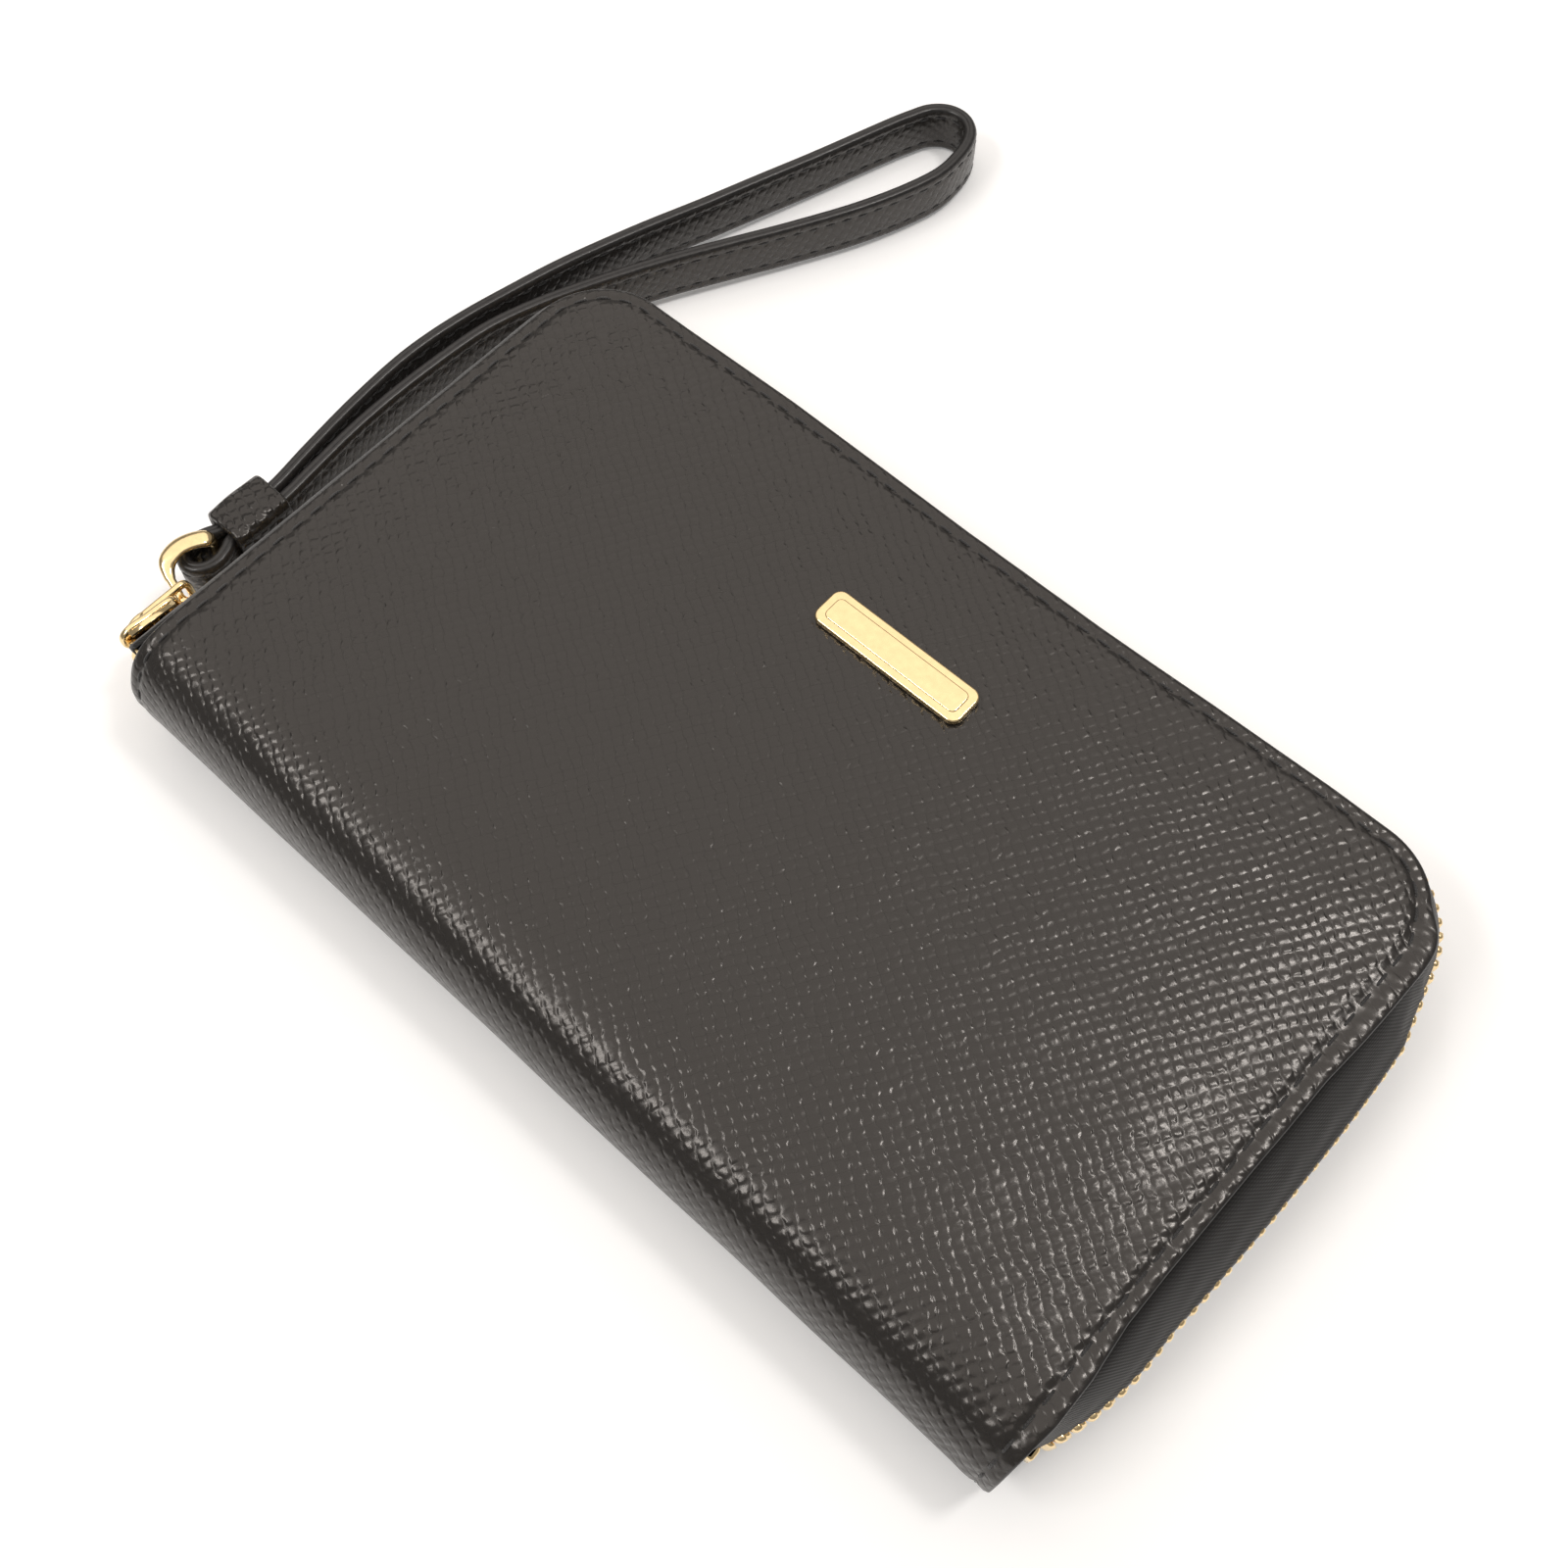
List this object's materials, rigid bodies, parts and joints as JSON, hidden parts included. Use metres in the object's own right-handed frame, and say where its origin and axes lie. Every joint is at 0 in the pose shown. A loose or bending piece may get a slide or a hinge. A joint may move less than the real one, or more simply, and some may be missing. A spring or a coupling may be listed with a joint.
{
  "type": "zip around wallet",
  "caption": "Zip around wristlet wallet: two leather covers joined at a rolled spine, gold zip round three sides, coin pocket, card pockets and a looped wrist strap on a ring.",
  "frame": {"origin": "centre of the back cover's outer face, on the plane the wallet rests on", "axes": "+X along the spine away from the slider end, +Y from the spine to the opening edge, +Z from the back cover to the front cover"},
  "size_m": [0.1923, 0.1776, 0.0233],
  "materials": {
    "black_leather": "crossgrain embossed, semi-gloss",
    "strap_leather": "crossgrain embossed faces, glossy painted edges",
    "pocket_leather": "smooth, satin",
    "lining_fabric": "fine plain weave",
    "gusset_fabric": "fine plain weave, folded in pleats",
    "stiffener_board": "pressed fibre board, hidden",
    "zip_tape": "black twill",
    "gold_teeth": "polished, pale gold",
    "gold_metal": "polished, pale gold plate"
  },
  "bodies": {
    "back": {"back_leather": "black_leather", "back_stiffener": "stiffener_board", "back_lining": "lining_fabric", "back_slip_pocket": "lining_fabric", "back_zip_tape": "zip_tape", "back_zip_teeth": "gold_teeth", "back_top_stop": "gold_metal", "bottom_stop": "gold_metal", "gusset_left": "gusset_fabric", "gusset_right": "gusset_fabric"},
    "front": {"front_leather": "black_leather", "front_stiffener": "stiffener_board", "front_lining": "lining_fabric", "card_pocket_1": "pocket_leather", "card_pocket_2": "pocket_leather", "card_pocket_3": "pocket_leather", "card_pocket_4": "pocket_leather", "front_zip_tape": "zip_tape", "front_zip_teeth": "gold_teeth", "front_top_stop": "gold_metal", "badge_plate": "gold_metal", "badge_washer_left": "gold_metal", "badge_washer_right": "gold_metal"},
    "divider": {"coin_wall_back": "lining_fabric", "coin_wall_front": "lining_fabric", "coin_pocket_seam": "lining_fabric", "coin_tape_back": "zip_tape", "coin_tape_front": "zip_tape", "coin_teeth_back": "gold_teeth", "coin_teeth_front": "gold_teeth", "coin_stop_left": "gold_metal", "coin_stop_right": "gold_metal"},
    "coin_slider": {"coin_slider_body": "gold_metal", "coin_slider_bridge": "gold_metal"},
    "coin_pull": {"coin_pull_tab": "gold_metal"},
    "slider": {"zip_slider_body": "gold_metal", "zip_slider_bridge": "gold_metal"},
    "pull": {"pull_link": "gold_metal"},
    "ring": {"strap_ring": "gold_metal"},
    "strap": {"wrist_strap": "strap_leather", "strap_keeper": "strap_leather"}
  },
  "joints": [
    {"name": "cover_hinge", "type": "hinge", "parent": "back", "child": "front", "pos_m": [0, -0.05025, 0.011], "axis": [1, 0, 0], "range_deg": [0, 60], "deforming": ["gusset_left", "gusset_right", "back_zip_teeth", "front_zip_teeth"]},
    {"name": "divider_hinge", "type": "hinge", "parent": "back", "child": "divider", "pos_m": [0, -0.05025, 0.011], "axis": [1, 0, 0], "range_deg": [0, 30]},
    {"name": "zip_slide", "type": "slide", "parent": "back", "child": "slider", "axis": [0, 1, 0], "range_m": [0, 0.07]},
    {"name": "pull_swing", "type": "hinge", "parent": "slider", "child": "pull", "pos_m": [-0.09135, -0.04085, 0.011], "axis": [0, 0, 1], "range_deg": [0, 100]},
    {"name": "ring_tilt", "type": "hinge", "parent": "pull", "child": "ring", "pos_m": [-0.09135, -0.0341, 0.0109], "axis": [1, 0, 0], "range_deg": [0, 85]},
    {"name": "strap_swing", "type": "hinge", "parent": "ring", "child": "strap", "pos_m": [-0.0954, -0.02445, 0.00695], "axis": [0, 0, 1], "range_deg": [0, 35]},
    {"name": "coin_zip_slide", "type": "slide", "parent": "divider", "child": "coin_slider", "axis": [-1, 0, 0], "range_m": [0, 0.108], "deforming": ["coin_teeth_back", "coin_teeth_front"]},
    {"name": "coin_pull_swing", "type": "hinge", "parent": "coin_slider", "child": "coin_pull", "pos_m": [0.0598, 0.0466, 0.01], "axis": [0, 0, -1], "range_deg": [0, 170]}
  ],
  "couplings": [
    {"joint": "divider_hinge", "follows": "cover_hinge", "ratio": 0.5}
  ]
}
